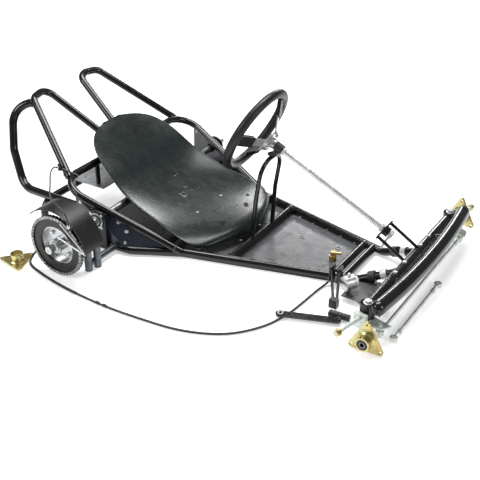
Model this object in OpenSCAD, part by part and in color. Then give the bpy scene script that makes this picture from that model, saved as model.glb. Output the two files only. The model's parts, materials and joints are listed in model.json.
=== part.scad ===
// Kart chassis: welded tube frame, bucket seat, steering gear, front axle parts, rear drive.
// Millimetres. +X is the front of the kart, +Y its left side, +Z up.
// The origin lies on the ground under the floor tray, on the centreline of the kart.

/* [Frame] */
// outside diameter of the main frame tubes
tube_d = 25; // [22:0.5:28]
// height of the side rail centreline above the ground
rail_z = 14.3; // [14:0.1:14.4]
// bend radius of the U-shaped tube round the seat
surround_bend = 75; // [60:1:85]
// bend radius of the rear hoops
hoop_bend = 38; // [32:1:42]
// thickness of the floor tray
tray_t = 2; // [1.5:0.1:2.2]
// outside diameter of the guard loop behind the seat
guard_loop_d = 28; // [22:1:30]

/* [Front axle] */
// position of the front beam along the kart
beam_x = 600; // [590:1:610]
// height of the front beam
beam_z = 75; // [72:1:80]
// outside diameter of the front beam
beam_d = 40; // [34:1:42]
// distance of each kingpin from the centreline
kingpin_y = 305; // [300:1:310]
// diameter of the kingpin bolts
kingpin_d = 12; // [10:1:14]
// outside diameter of the bumper tube
bumper_d = 42; // [34:1:44]
// steering angle the front wheels are left at
steer_rest = -12; // [-14:1:-10]
// height of the stub spindles
spindle_z = 64; // [62:1:66]
// diameter of the stub spindles
spindle_d = 12; // [10:1:14]
// distance from a kingpin to the tie rod bolt on the steering arm
arm_l = 45; // [42:1:48]

/* [Wheel hubs] */
// pitch circle diameter of the three wheel bolt holes
hub_pcd = 100; // [96:1:104]
// diameter of each wheel bolt hole
hub_hole_d = 8.5; // [8:0.5:10]
// outside diameter of the hub barrel
hub_barrel_d = 40; // [38:1:44]
// thickness of the hub flange
hub_flange_t = 6; // [4:0.5:7]
// length of the hub barrel, flange included
hub_l = 30; // [28:1:34]

/* [Steering] */
// tilt of the steering column above the horizontal
column_tilt = 26; // [25:0.5:27]
// diameter of the steering shaft
shaft_d = 15; // [14:0.5:16]
// radius of the rim centreline of the steering wheel
rim_r = 134; // [130:1:138]
// thickness of the foam rim
rim_d = 29; // [26:1:30]
// diameter of the steering hoop tube
hoop_tube_d = 14; // [12:1:16]
// spread of the hoop legs from the centreline
hoop_half = 60; // [58:1:62]

/* [Rear axle] */
// position of the rear axle along the kart
axle_x = -318; // [-320:1:-316]
// height of the rear axle
axle_z = 100; // [99:0.5:101]
// diameter of the rear axle
axle_d = 25; // [20:1:25]
// number of sprocket teeth
sprocket_teeth = 46; // [42:1:46]
// pitch of the roller chain
chain_pitch = 12.7; // [12.7:0.1:12.7]
// radius of the brake drum
drum_r = 62; // [56:1:64]

/* [Seat] */
// thickness of the seat shell
seat_t = 4.5; // [4:0.5:5]

/* [Hidden] */
$fn = 48;
// amount by which an elbow is thicker than its tube, and run of tube inside each elbow
elbow_swell = 0.4;
elbow_run = 2;
// depth to which welded pieces run into each other
weld = 0.5;
// running clearance on the radius of shafts and pins
run_fit = 0.03;
// clearance hole allowance on the radius
loose_fit = 0.2;

function unit(v) = v / norm(v);
function flip(p) = [p.x, -p.y, p.z];
function flip_all(p) = [for (q = p) flip(q)];

module rod(a, b, d) {
    v = b - a;
    translate(a)
        rotate([0, acos(v.z / norm(v)), atan2(v.y, v.x)])
            cylinder(h = norm(v), d = d);
}

function turn(p, i) = acos(unit(p[i] - p[i - 1]) * unit(p[i + 1] - p[i]));
function cut(p, i, r) =
    (i == 0 || i == len(p) - 1) ? 0 : r * tan(turn(p, i) / 2) - elbow_run;

module elbow(a, b, c, d, r) {
    u = unit(b - a);
    w = unit(c - b);
    n = unit(w - (w * u) * u);
    k = cross(u, n);
    s = b - u * r * tan(acos(u * w) / 2) + n * r;
    multmatrix([[-n.x, u.x, k.x, s.x], [-n.y, u.y, k.y, s.y], [-n.z, u.z, k.z, s.z], [0, 0, 0, 1]])
        rotate_extrude(angle = acos(u * w))
            translate([r, 0])
                circle(d = d + elbow_swell);
}

// tube of diameter d along the corner points p, every corner bent to radius r
module bent_tube(p, d, r) {
    for (i = [0 : len(p) - 2]) {
        u = unit(p[i + 1] - p[i]);
        rod(p[i] + u * cut(p, i, r), p[i + 1] - u * cut(p, i + 1, r), d);
    }
    for (i = [1 : len(p) - 2])
        elbow(p[i - 1], p[i], p[i + 1], d, r);
}

// thin sheet spanned between corner points
module sheet_between(p) {
    hull()
        for (q = p)
            translate(q)
                sphere(r = 1, $fn = 8);
}

// smooth curve through hand-placed points
function clamp_i(i, n) = i < 0 ? 0 : i >= n ? n - 1 : i;
function curve_at(p, i, t) =
    let (a = p[clamp_i(i - 1, len(p))], b = p[i],
        c = p[clamp_i(i + 1, len(p))], d = p[clamp_i(i + 2, len(p))])
    0.5 * (2 * b + (c - a) * t + (2 * a - 5 * b + 4 * c - d) * t * t
        + (3 * b - a - 3 * c + d) * t * t * t);
function smooth(p, n) =
    concat([for (i = [0 : len(p) - 2]) for (j = [0 : n - 1]) curve_at(p, i, j / n)],
        [p[len(p) - 1]]);

// round cord along a list of points, with flat ends
module cord(p, d, up) {
    sides = 8;
    m = len(p);
    function along(i) = unit(p[min(i + 1, m - 1)] - p[max(i - 1, 0)]);
    function side(i) = unit(cross(along(i), up));
    function over(i) = cross(side(i), along(i));
    rings = [for (i = [0 : m - 1]) for (k = [0 : sides - 1])
        p[i] + (side(i) * cos(360 * k / sides) + over(i) * sin(360 * k / sides)) * d / 2];
    walls = [for (i = [0 : m - 2]) for (k = [0 : sides - 1])
        [i * sides + k, i * sides + (k + 1) % sides,
            (i + 1) * sides + (k + 1) % sides, (i + 1) * sides + k]];
    first = [for (k = [0 : sides - 1]) sides - 1 - k];
    last = [for (k = [0 : sides - 1]) (m - 1) * sides + k];
    polyhedron(rings, concat(walls, [first, last]));
}

/* ---- frame ---- */

tray_front = 385;
tray_rear = -430;
tray_half = 319;
rail_end_z = 66;
rail_path = [[-560, -330, rail_z], [-215, -318, rail_z], [-60, -238, rail_z], [470, -96, rail_z],
    [beam_x - 10, -66, rail_end_z]];
rail_bend = 60;

module rail(path) {
    color([0.05, 0.05, 0.06])
        bent_tube(path, tube_d, rail_bend);
}
module rail_right() {
    rail(rail_path);
}
module rail_left() {
    rail(flip_all(rail_path));
}

front_cross_x = 400;
front_cross_half = 113;
mid_cross_x = 85;
mid_cross_half = 198;
module cross_tube(x, half) {
    color([0.05, 0.05, 0.06])
        rod([x, -half, rail_z], [x, half, rail_z], tube_d);
}
front_cross_gap = 33;
module front_cross_tube() {
    cross_tube(front_cross_x, front_cross_half);
    cross_tube(front_cross_x + front_cross_gap, front_cross_half - 7);
}
module mid_cross_tube() {
    cross_tube(mid_cross_x, mid_cross_half);
}

rear_cross_z = 97;
rear_cross_x = -548;
rear_cross_path = [[rear_cross_x, -329, rail_z], [rear_cross_x, -329, rear_cross_z]];
module rear_cross_tube() {
    p = concat(rear_cross_path, [flip(rear_cross_path[1]), flip(rear_cross_path[0])]);
    color([0.05, 0.05, 0.06])
        bent_tube(p, tube_d, 40);
}

surround_front = [-60, -246, 18];
surround_corner = [-462, -344, 192];
module seat_surround_tube() {
    p = [surround_front, surround_corner, flip(surround_corner), flip(surround_front)];
    color([0.04, 0.04, 0.05])
        bent_tube(p, tube_d, surround_bend);
}

hoop_path = [[-462, -290, 192], [-705, -165, 368], [-725, -85, 372], [-462, -22, 192]];
module rear_hoop_right() {
    color([0.04, 0.04, 0.05])
        bent_tube(hoop_path, tube_d, hoop_bend);
}
module rear_hoop_left() {
    color([0.04, 0.04, 0.05])
        bent_tube(flip_all(hoop_path), tube_d, hoop_bend);
}

guard_loop_path = [[-700, -160, 352], [-768, -200, 345], [-742, -245, 205], [-672, -285, 98],
    [-415, -322, 118]];
guard_loop_bend = 72;
module rear_guard_loop() {
    color([0.05, 0.05, 0.06])
        bent_tube(guard_loop_path, guard_loop_d, guard_loop_bend);
}

module floor_tray() {
    color([0.45, 0.46, 0.48])
        difference() {
            linear_extrude(tray_t)
                polygon([[tray_rear, -tray_half], [-210, -tray_half], [-60, -244], [tray_front, -128],
                    [tray_front, 128], [-60, 244], [-210, tray_half], [tray_rear, tray_half]]);
            for (x = [40, 200, 330])
                for (s = [-1, 1])
                    translate([x, s * 60, -1])
                        cylinder(h = tray_t + 2, d = 9);
        }
}

panel_low = [[-75, -243, 20], [-215, -322, 17], [-405, -327, 17]];
panel_high = [[-215, -284, 84], [-405, -329, 158]];
module side_panel(s) {
    low = s < 0 ? panel_low : flip_all(panel_low);
    high = s < 0 ? panel_high : flip_all(panel_high);
    color([0.13, 0.15, 0.2])
        difference() {
            union() {
                sheet_between([low[0], low[1], high[0]]);
                sheet_between([low[1], low[2], high[1], high[0]]);
            }
            translate([axle_x, s * 250, axle_z])
                rotate([s > 0 ? -90 : 90, 0, 0])
                    cylinder(h = 100, d = axle_d + 9);
        }
}
module side_panel_right() {
    side_panel(-1);
}
module side_panel_left() {
    side_panel(1);
}

engine_plate_z = 108.5;
engine_plate_t = 4;
engine_hole_d = 8.5;
engine_hole_dx = 56;
engine_hole_dy = 80;
engine_plate_centre = [-500, -100];
module engine_plate() {
    c = engine_plate_centre;
    color([0.25, 0.26, 0.28]) {
        difference() {
            translate([c.x - 75, c.y - 75, engine_plate_z])
                cube([150, 150, engine_plate_t]);
            for (i = [-0.5, 0.5])
                for (j = [-0.5, 0.5])
                    translate([c.x + i * engine_hole_dx, c.y + j * engine_hole_dy, engine_plate_z - 1])
                        cylinder(h = engine_plate_t + 2, d = engine_hole_d);
        }
        for (dy = [-60, 45])
            translate([c.x + 35, c.y + dy, engine_plate_z])
                cube([6, 16, 80]);
    }
}

/* ---- front axle ---- */

boss_d = 44;
boss_h = 44;
boss_low = beam_z - boss_h / 2;
boss_high = beam_z + boss_h / 2;
module front_beam() {
    color([0.04, 0.04, 0.05])
        difference() {
            union() {
                rod([beam_x, -kingpin_y, beam_z], [beam_x, kingpin_y, beam_z], beam_d);
                for (s = [-1, 1])
                    translate([beam_x, s * kingpin_y, boss_low])
                        cylinder(h = boss_h, d = boss_d);
            }
            for (s = [-1, 1])
                translate([beam_x, s * kingpin_y, boss_low - 1])
                    cylinder(h = boss_h + 2, d = kingpin_d + 2 * loose_fit);
        }
}

// domed plug that closes the end of a tube, with a short skirt over the tube
module round_end(d) {
    rotate_extrude()
        union() {
            intersection() {
                circle(d = d);
                square(d);
            }
            translate([0, -3])
                square([d / 2, 3.5]);
        }
}

bumper_front = 657;
bumper_z = 100;
bumper_half = 318;
bumper_sag = 20;
bumper_r = (bumper_half * bumper_half + bumper_sag * bumper_sag) / (2 * bumper_sag);
bumper_angle = asin(bumper_half / bumper_r);
module bumper() {
    color([0.03, 0.03, 0.04])
        translate([bumper_front - bumper_r, 0, bumper_z]) {
            rotate([0, 0, -bumper_angle])
                rotate_extrude(angle = 2 * bumper_angle, $fn = 480)
                    translate([bumper_r, 0])
                        circle(d = bumper_d);
            for (s = [-1, 1])
                rotate([0, 0, s * bumper_angle])
                    translate([bumper_r, 0, 0])
                        rotate([-s * 90, 0, 0])
                            round_end(bumper_d + elbow_swell);
        }
}

// two short stays and the narrow web sheet that joins the beam to the bumper
web_z = 86;
web_t = 3;
web_half = 270;
module bumper_stays() {
    r = bumper_r - 12;
    color([0.05, 0.05, 0.06]) {
        for (s = [-1, 1])
            rod([beam_x + 8, s * 150, beam_z + 4], [beam_x + 45, s * 150, bumper_z - 5], 22);
        translate([0, 0, web_z])
            linear_extrude(web_t)
                polygon(concat([[beam_x + 12, web_half], [beam_x + 12, -web_half]],
                    [for (i = [-6 : 6])
                        let (y = web_half * i / 6)
                        [bumper_front - bumper_r + sqrt(r * r - y * y), y]]));
    }
}

plate_z = 14;
plate_t = 3;
module foot_plate() {
    color([0.12, 0.13, 0.15])
        translate([0, 0, plate_z])
            linear_extrude(plate_t)
                polygon([[468, -94], [540, -75], [600, -168], [612, -210], [470, -200]]);
    color([0.7, 0.72, 0.75])
        translate([0, 0, plate_z - 2])
            linear_extrude(2 + weld)
                polygon([[505, -186], [598, -168], [612, -240], [560, -236]]);
}

clamp_out_d = 34;
module rail_clamps() {
    for (s = [-1, 1]) {
        color([0.03, 0.03, 0.03])
            rod([505, s * 87, 30.9], [524, s * 82, 39], clamp_out_d);
        color([0.7, 0.7, 0.7])
            rod([540, s * 78, 45.7], [556, s * 74, 52.4], clamp_out_d - 2);
    }
}

pin_head_h = 8;
knuckle_gap = 0.4;
sleeve_low = 30;
sleeve_high = boss_low - knuckle_gap;
module kingpins() {
    color([0.75, 0.75, 0.72])
        for (s = [-1, 1])
            translate([beam_x, s * kingpin_y, 0]) {
                translate([0, 0, sleeve_low - 12])
                    cylinder(h = boss_high - sleeve_low + 14, d = kingpin_d);
                translate([0, 0, boss_high])
                    cylinder(h = pin_head_h, d = 21, $fn = 6);
                translate([0, 0, sleeve_low - knuckle_gap - 9])
                    cylinder(h = 9, d = 20, $fn = 6);
            }
}

// one knuckle, wheels straight ahead, kingpin at the origin, stub spindle towards -Y
stub_plate_in = 24.5;
stub_plate_out = 36;
stub_l = 100;
arm_low = 40;
arm_t = 5;
tie_bolt_d = 8;
module knuckle_shape() {
    difference() {
        union() {
            translate([0, 0, sleeve_low])
                cylinder(h = sleeve_high - sleeve_low, d = 32);
            translate([-16, -stub_plate_out, sleeve_low])
                cube([32, stub_plate_out, 7]);
            translate([-20, -stub_plate_out, sleeve_low])
                cube([40, stub_plate_out - stub_plate_in, 47]);
            translate([0, 0, arm_low])
                linear_extrude(arm_t)
                    polygon([[-12, 24], [72, 16], [60, -12], [30, -22], [-10, -22]]);
            translate([0, -stub_plate_out + weld, spindle_z])
                rotate([90, 0, 0])
                    cylinder(h = stub_l + weld, d = spindle_d);
            translate([arm_l, 0, 10])
                cylinder(h = arm_low + arm_t + 5 - 10, d = tie_bolt_d);
            translate([arm_l, 0, arm_low + arm_t])
                cylinder(h = 5.5, d = 14, $fn = 6);
            translate([arm_l, 0, 6])
                cylinder(h = 6.5, d = 14, $fn = 6);
        }
        translate([0, 0, sleeve_low - 1])
            cylinder(h = 60, d = kingpin_d + 2 * run_fit);
        translate([12, 8, arm_low - 1])
            cylinder(h = arm_t + 2, d = 6);
    }
}
module knuckle_place(s) {
    translate([beam_x, s * kingpin_y, 0])
        rotate([0, 0, steer_rest])
            mirror([0, s > 0 ? 1 : 0, 0])
                children();
}
module knuckle_right() {
    color([0.72, 0.73, 0.7])
        knuckle_place(-1)
            knuckle_shape();
}
module knuckle_left() {
    color([0.72, 0.73, 0.7])
        knuckle_place(1)
            knuckle_shape();
}

// castle nut and washer near the end of a stub spindle
nut_back = 10;
module spindle_nuts(s) {
    color([0.75, 0.6, 0.25])
        knuckle_place(s)
            translate([0, -stub_plate_out - stub_l + nut_back, spindle_z])
                rotate([90, 0, 0])
                    difference() {
                        union() {
                            cylinder(h = 7, d = 20, $fn = 6);
                            translate([0, 0, -2])
                                cylinder(h = 2.5, d = 23);
                            translate([0, 0, 6.5])
                                cylinder(h = 5, d = 16);
                        }
                        translate([0, 0, -3])
                            cylinder(h = 16, d = spindle_d - 0.1);
                    }
}
module spindle_nuts_right() {
    spindle_nuts(-1);
}
module spindle_nuts_left() {
    spindle_nuts(1);
}

// threaded link with an eye at each end, lying along Y, eyes open upwards
eye_d = 23;
eye_t = 11;
module link(l, bore) {
    for (s = [0, 1])
        mirror([0, s, 0])
            difference() {
                union() {
                    translate([0, l / 2, -eye_t / 2])
                        cylinder(h = eye_t, d = eye_d);
                    translate([0, l / 2 - 8, 0])
                        rotate([90, 0, 0])
                            cylinder(h = 30, d = 9.6);
                    translate([0, l / 2 - 36, 0])
                        rotate([90, 0, 0])
                            cylinder(h = 7, d = 16, $fn = 6);
                }
                translate([0, l / 2, -eye_t])
                    cylinder(h = 2 * eye_t, d = bore);
            }
    rotate([90, 0, 0])
        cylinder(h = l - 84, d = 10, $fn = 6, center = true);
}

tie_z = 20;
module tie_rod() {
    color([0.72, 0.73, 0.7])
        translate([beam_x + arm_l * cos(steer_rest), arm_l * sin(steer_rest), tie_z])
            link(2 * kingpin_y, tie_bolt_d + 2 * loose_fit);
}

// three-lugged wheel hub, axis along Z, flange at the bottom
lug_d = 18;
lug_in = lug_d / 2 - 0.3;
bearing_d = 32;
bearing_w = 9;
module hub_shape() {
    difference() {
        union() {
            linear_extrude(hub_flange_t)
                union() {
                    polygon([for (k = [0 : 2]) for (e = [-1, 1])
                        let (a = 120 * k + 90, r = hub_pcd / 2)
                        [r * cos(a) + lug_in * cos(a + e * 60), r * sin(a) + lug_in * sin(a + e * 60)]]);
                    for (k = [0 : 2])
                        rotate([0, 0, 120 * k + 90])
                            translate([hub_pcd / 2, 0])
                                circle(d = lug_d);
                }
            cylinder(h = hub_l, d = hub_barrel_d);
            translate([0, 0, hub_flange_t])
                cylinder(h = 4, d1 = 52, d2 = 44);
        }
        translate([0, 0, -1])
            cylinder(h = hub_l + 2, d = bearing_d - 6);
        for (z = [-1, hub_l - bearing_w])
            translate([0, 0, z])
                cylinder(h = bearing_w + 1, d = bearing_d);
        for (k = [0 : 2])
            rotate([0, 0, 120 * k + 90])
                translate([hub_pcd / 2, 0, -1])
                    cylinder(h = hub_flange_t + 2, d = hub_hole_d);
    }
}
module bearing_pair() {
    for (z = [0, hub_l - bearing_w])
        translate([0, 0, z])
            difference() {
                cylinder(h = bearing_w, d = bearing_d);
                translate([0, 0, -1])
                    cylinder(h = bearing_w + 2, d = spindle_d + 2 * run_fit);
            }
}
hub_in = 38.5;
module left_hub_place() {
    knuckle_place(1)
        translate([0, -hub_in - hub_l, spindle_z])
            rotate([-90, 0, 0])
                rotate([0, 0, 180])
                    children();
}
module front_hub_left() {
    color([0.8, 0.65, 0.3])
        left_hub_place()
            hub_shape();
}
module hub_bearings_left() {
    color([0.1, 0.1, 0.1])
        left_hub_place()
            bearing_pair();
}
loose_hub_at = [636, -381, 34.5];
module right_hub_place() {
    translate(loose_hub_at)
        rotate([90, 0, 0])
            children();
}
module front_hub_right() {
    color([0.8, 0.65, 0.3])
        right_hub_place()
            hub_shape();
}
module hub_bearings_right() {
    color([0.1, 0.1, 0.1])
        right_hub_place()
            bearing_pair();
}

drag_link_l = 320;
module drag_link() {
    color([0.72, 0.73, 0.7])
        translate([682, -144, 8.2])
            link(drag_link_l, 10.5);
}

/* ---- steering ---- */

wheel_centre = [57, 0, 369];
shaft_l = 470;
column_dir = [cos(column_tilt), 0, -sin(column_tilt)];
module on_column(s) {
    translate(wheel_centre + column_dir * s)
        rotate([0, 90 + column_tilt, 0])
            children();
}
module wheel_rim() {
    color([0.04, 0.04, 0.04])
        on_column(0)
            rotate_extrude()
                translate([rim_r, 0])
                    circle(d = rim_d);
}
spoke_w = 26;
spoke_t = 4;
dish = 57;
spoke_angles = [23, 143, 263];
spoke_out = rim_r - 8;
spoke_in = 30;
// one spoke: flat bar rising from the hub flange to the rim
module spoke_bar(r0, r1, w, t) {
    function h(r) = dish * (spoke_out - r) / (spoke_out - spoke_in);
    rotate([90, 0, 0])
        linear_extrude(w, center = true)
            polygon([[r0, h(r0) - t / 2], [r1, h(r1) - t / 2], [r1, h(r1) + t / 2], [r0, h(r0) + t / 2]]);
}
module wheel_spokes() {
    color([0.75, 0.76, 0.77])
        on_column(0) {
            for (a = spoke_angles)
                rotate([0, 0, a])
                    spoke_bar(spoke_in - 2, spoke_out, spoke_w, spoke_t);
            translate([0, 0, dish - spoke_t / 2])
                cylinder(h = spoke_t, d = 74);
        }
}
module spoke_covers() {
    color([0.05, 0.05, 0.05])
        on_column(0)
            for (a = spoke_angles)
                rotate([0, 0, a])
                    difference() {
                        spoke_bar(74, rim_r - 14, spoke_w + 10, spoke_t + 10);
                        spoke_bar(60, rim_r, spoke_w, spoke_t);
                    }
}
flange_t = 6;
module wheel_flange() {
    color([0.55, 0.56, 0.57])
        on_column(dish + spoke_t / 2)
            difference() {
                union() {
                    cylinder(h = flange_t, d = 66);
                    cylinder(h = 20, d = 30);
                }
                translate([0, 0, -1])
                    cylinder(h = 30, d = shaft_d);
            }
}
module wheel_bolts() {
    color([0.7, 0.7, 0.7])
        on_column(dish - spoke_t / 2 - 5)
            for (k = [0 : 2])
                rotate([0, 0, 120 * k + 30])
                    translate([25, 0, 0]) {
                        cylinder(h = 5, d = 11, $fn = 6);
                        cylinder(h = 5 + spoke_t + flange_t + 5, d = 6);
                        translate([0, 0, 5 + spoke_t + flange_t])
                            cylinder(h = 5, d = 11, $fn = 6);
                    }
}
shaft_start = dish + spoke_t / 2 + 0.2;
module steering_shaft() {
    color([0.78, 0.79, 0.8])
        on_column(shaft_start)
            cylinder(h = shaft_l, d = shaft_d);
}
pitman_l = 52;
pitman_at = shaft_start + shaft_l - 11;
module pitman_arm() {
    color([0.7, 0.71, 0.7])
        on_column(pitman_at)
            difference() {
                union() {
                    cylinder(h = 10, d = 28);
                    linear_extrude(6)
                        union() {
                            translate([0, -9])
                                square([pitman_l, 18]);
                            translate([pitman_l, 0])
                                circle(d = 18);
                        }
                }
                translate([0, 0, -1])
                    cylinder(h = 14, d = shaft_d);
                translate([pitman_l, 0, -1])
                    cylinder(h = 10, d = 8.5);
            }
}

hoop_leg = [[mid_cross_x, -hoop_half - 2, 18], [96, -hoop_half, 163], [117, -hoop_half, 292]];
module steering_hoop() {
    p = concat(hoop_leg, [flip(hoop_leg[2]), flip(hoop_leg[1]), flip(hoop_leg[0])]);
    color([0.05, 0.05, 0.06])
        bent_tube(p, hoop_tube_d, 52);
}
bush_at = dish + 24;
bush_l = 26;
module column_bush() {
    color([0.05, 0.05, 0.05])
        difference() {
            union() {
                on_column(bush_at)
                    cylinder(h = bush_l, d = 30);
                rotate([90, 0, 0])
                    linear_extrude(22, center = true)
                        polygon([[109, 290], [125, 290], [150, 322], [134, 334]]);
                rod([104, 0, 298], [119, 0, 306], 12);
            }
            on_column(bush_at - 30)
                cylinder(h = bush_l + 60, d = shaft_d + 2 * run_fit);
        }
}
lower_at = pitman_at - 22;
lower_l = 20;
lower_half = 46;
module lower_bracket() {
    color([0.06, 0.06, 0.07])
        difference() {
            union() {
                on_column(lower_at)
                    cylinder(h = lower_l, d = 30);
                on_column(lower_at)
                    translate([-8, -lower_half - 4, 0])
                        cube([16, 2 * lower_half + 8, 5]);
                for (s = [-1, 1])
                    rod([505, s * (lower_half + 1), 150],
                        [beam_x - 4, s * (lower_half + 1), beam_z + 18], 10);
            }
            on_column(lower_at - 5)
                cylinder(h = lower_l + 10, d = shaft_d + 2 * run_fit);
        }
}

/* ---- seat ---- */

// middle line of the seat, from the top edge to the front lip
seat_mid = [[-515, 0, 278], [-508, 0, 273], [-496, 0, 265], [-480, 0, 252], [-462, 0, 238],
    [-442, 0, 222], [-416, 0, 202], [-384, 0, 176], [-347, 0, 144], [-307, 0, 116], [-265, 0, 94],
    [-215, 0, 77], [-160, 0, 66], [-105, 0, 60], [-55, 0, 58], [-10, 0, 58], [25, 0, 58],
    [50, 0, 50], [62, 0, 32]];
// edge of the seat at the same stations
seat_edge = [[-514, 40, 277], [-511, 76, 271], [-497, 108, 265], [-480, 134, 257],
    [-463, 153, 248], [-441, 169, 234], [-408, 184, 213], [-371, 193, 186], [-329, 202, 152],
    [-286, 208, 127], [-244, 212, 109], [-203, 214, 94], [-160, 220, 81], [-107, 228, 66],
    [-67, 229, 52], [-33, 219, 40], [0, 188, 34], [32, 125, 31], [54, 60, 29]];
seat_rows = smooth(seat_mid, 2);
seat_rims = smooth(seat_edge, 2);
seat_bow = 2.6;
seat_cols = 12;
function seat_pt(i, s) =
    let (c = seat_rows[i], e = seat_rims[i], q = abs(s), k = pow(q, seat_bow))
    [c.x + (e.x - c.x) * k, e.y * s, c.z + (e.z - c.z) * k];
function seat_n(i, s) =
    let (m = len(seat_rows) - 1, d = 0.02,
        u = seat_pt(min(i + 1, m), s) - seat_pt(max(i - 1, 0), s),
        v = seat_pt(i, s + d) - seat_pt(i, s - d))
    unit(cross(u, v));
module seat_shell() {
    rows = len(seat_rows);
    cols = 2 * seat_cols + 1;
    top = [for (i = [0 : rows - 1]) for (j = [-seat_cols : seat_cols]) seat_pt(i, j / seat_cols)];
    low = [for (i = [0 : rows - 1]) for (j = [-seat_cols : seat_cols])
        seat_pt(i, j / seat_cols) - seat_n(i, j / seat_cols) * seat_t];
    n = rows * cols;
    up = [for (i = [0 : rows - 2]) for (j = [0 : cols - 2]) for (k = [0, 1])
        let (a = i * cols + j)
        k == 0 ? [a, a + cols, a + 1] : [a + 1, a + cols, a + cols + 1]];
    down = [for (f = up) [f[0] + n, f[2] + n, f[1] + n]];
    front = [for (j = [0 : cols - 2]) for (k = [0, 1])
        let (a = (rows - 1) * cols + j)
        k == 0 ? [a, a + n, a + 1] : [a + 1, a + n, a + n + 1]];
    back = [for (j = [0 : cols - 2]) for (k = [0, 1])
        k == 0 ? [j, j + 1, j + n] : [j + 1, j + 1 + n, j + n]];
    ends = [for (i = [0 : rows - 2]) for (k = [0 : 3])
        let (a = i * cols, b = i * cols + cols - 1)
        k == 0 ? [a, a + n, a + cols] :
        k == 1 ? [a + cols, a + n, a + cols + n] :
        k == 2 ? [b, b + cols, b + n] : [b + cols, b + cols + n, b + n]];
    polyhedron(concat(top, low), concat(up, down, front, back, ends));
}
seat_hole_d = 9;
seat_holes = [[-292, 48], [-240, 32], [-210, 40], [-215, -12], [-46, 137]];
module seat() {
    color([0.1, 0.13, 0.13])
        difference() {
            seat_shell();
            for (p = seat_holes)
                translate([p.x, p.y, 40])
                    cylinder(h = 120, d = seat_hole_d, $fn = 16);
        }
}

strap_x = [-120, -20];
strap_z = 26;
strap_half = [262, 224];
module seat_supports() {
    color([0.1, 0.1, 0.11]) {
        for (i = [0, 1])
            translate([strap_x[i] - 12, -strap_half[i], strap_z])
                cube([24, 2 * strap_half[i], 5]);
        for (s = [-1, 1]) {
            for (x = strap_x)
                translate([x, s * 70, strap_z + 4])
                    cylinder(h = 23, d = 18);
            rod([-462, s * 90, 198], [-462, s * 90, 237], 14);
        }
    }
}
module frame_bolts() {
    color([0.72, 0.72, 0.7]) {
        for (y = [-124, -58, 58, 124])
            translate([beam_x, y, beam_z + beam_d / 2 - 2])
                cylinder(h = 8, d = 13, $fn = 6);
        for (s = [-1, 1])
            for (x = strap_x)
                translate([x, s * 70, strap_z + 20])
                    cylinder(h = 18, d = 8);
    }
}

/* ---- rear axle and drive ---- */

hanger_in = 333;
hanger_t = 6;
hanger_r = 34;
race_d = 52;
race_w = 15;
module across(x, y, z) {
    translate([x, y, z])
        rotate([90, 0, 0])
            children();
}
outer_y = -456;
module axle_hangers() {
    color([0.2, 0.2, 0.22]) {
        for (s = [-1, 1])
            difference() {
                union() {
                    across(axle_x, s * (hanger_in + hanger_t / 2) + hanger_t / 2, 0)
                        linear_extrude(hanger_t)
                            union() {
                                translate([0, axle_z])
                                    circle(r = hanger_r);
                                translate([-hanger_r, 4])
                                    square([2 * hanger_r, axle_z - 4]);
                            }
                }
                across(axle_x, s * (hanger_in + hanger_t / 2) + hanger_t, axle_z)
                    cylinder(h = 2 * hanger_t, d = race_d);
            }
        difference() {
            across(0, outer_y + hanger_t / 2, 0)
                linear_extrude(hanger_t)
                    union() {
                        translate([axle_x, axle_z])
                            circle(r = hanger_r);
                        polygon([[axle_x, axle_z + 34], [axle_x, axle_z - 34], [-258, 70], [-258, 130]]);
                    }
            across(axle_x, outer_y + hanger_t, axle_z)
                cylinder(h = 2 * hanger_t, d = race_d);
        }
    }
}
module axle_bearings() {
    color([0.6, 0.6, 0.6])
        for (y = [outer_y, -hanger_in - hanger_t / 2, hanger_in + hanger_t / 2])
            difference() {
                across(axle_x, y + race_w / 2, axle_z)
                    cylinder(h = race_w, d = race_d);
                across(axle_x, y + race_w, axle_z)
                    cylinder(h = 2 * race_w, d = axle_d + 2 * run_fit);
            }
}
leg_d = 24;
leg_at = [[-258, outer_y - 3, 178], [-250, -426, 96]];
module drive_outrigger() {
    color([0.22, 0.23, 0.24]) {
        rod([leg_at[0].x, leg_at[0].y, rail_z + 6], [leg_at[0].x, -318, rail_z + 6], 20);
        for (p = leg_at)
            translate([p.x, p.y, 0.5])
                cylinder(h = p.z, d = leg_d);
    }
}
guard_r = 124;
guard_t = 3;
guard_out = -538;
guard_w = 84;
guard_from = 5;
guard_sweep = 127;
cable_stop = [-238, -534, 190];
module chain_guard() {
    color([0.06, 0.06, 0.07]) {
        across(axle_x, guard_out + guard_w, axle_z)
            rotate([0, 0, guard_from])
                rotate_extrude(angle = guard_sweep)
                    translate([guard_r - guard_t, 0])
                        square([guard_t, guard_w]);
        rod([-262, outer_y, 168], [-262, -500, 204], 10);
        rod(cable_stop, cable_stop - [0, 18, 0], 10);
    }
}
axle_left = 352;
axle_right = -560;
journal_d = 20;
journal_l = 30;
module rear_axle() {
    color([0.6, 0.61, 0.62]) {
        across(axle_x, axle_left, axle_z)
            cylinder(h = axle_left - axle_right, d = axle_d);
        across(axle_x, axle_left + journal_l, axle_z)
            cylinder(h = journal_l + 1, d = journal_d);
    }
}
pitch_r = chain_pitch / (2 * sin(180 / sprocket_teeth));
sprocket_y = -519;
sprocket_t = 6;
roller_r = 4.25;
module sprocket() {
    tip = pitch_r + 4;
    root = pitch_r - roller_r;
    color([0.1, 0.1, 0.11])
        across(axle_x, sprocket_y, axle_z)
            difference() {
                linear_extrude(sprocket_t)
                    polygon([for (k = [0 : sprocket_teeth - 1])
                        for (e = [[0.3, root], [0.42, tip], [0.58, tip], [0.7, root]])
                            let (a = 360 * (k + e[0]) / sprocket_teeth)
                            [e[1] * cos(a), e[1] * sin(a)]]);
                translate([0, 0, -1])
                    cylinder(h = sprocket_t + 2, r = drum_r);
            }
}
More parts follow.
